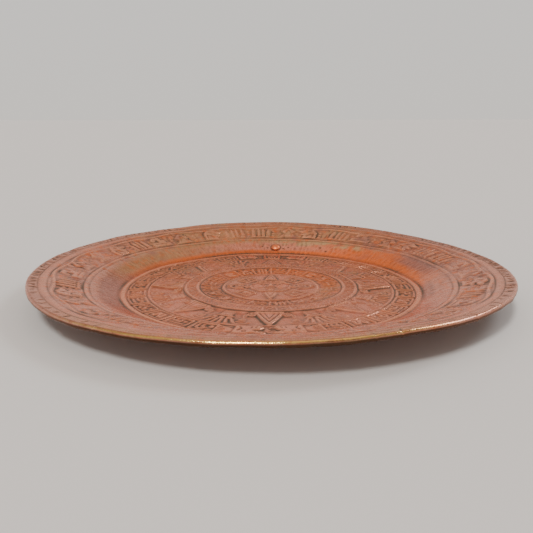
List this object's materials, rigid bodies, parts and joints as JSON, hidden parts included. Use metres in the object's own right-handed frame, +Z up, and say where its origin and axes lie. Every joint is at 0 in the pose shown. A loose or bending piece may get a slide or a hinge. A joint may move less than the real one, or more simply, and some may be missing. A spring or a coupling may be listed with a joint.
{
  "type": "hammered copper tray",
  "caption": "Shallow round copper tray with an embossed sun-calendar floor, a hammered wall and rim, a wired edge, and a riveted hanging ring under the rim.",
  "frame": {"origin": "under the middle of the tray, on the surface it stands on", "axes": "+Z up through the middle of the dish; +Y towards the side that hangs uppermost, where the hanging ring is; +X to the right as the embossed figure is read"},
  "size_m": [0.305, 0.305, 0.0197],
  "materials": {
    "hammered_copper": "worn satin copper with dark patina in the recesses",
    "copper_rivet": "hammered copper, rubbed bright on top",
    "steel_wire": "drawn wire",
    "brass_hanger": "tarnished brass"
  },
  "bodies": {
    "tray": {"tray_sheet": "hammered_copper", "rim_wire": "steel_wire", "hanger_rivet": "copper_rivet", "hanger_washer": "brass_hanger", "hanger_clip": "brass_hanger"},
    "ring": {"hanging_ring": "brass_hanger"}
  },
  "joints": [
    {"name": "ring_swing", "type": "hinge", "parent": "tray", "child": "ring", "pos_m": [0.00322, 0.11535, 0.00593], "axis": [0.9996, -0.0279, 0], "range_deg": [-142, 34]}
  ]
}
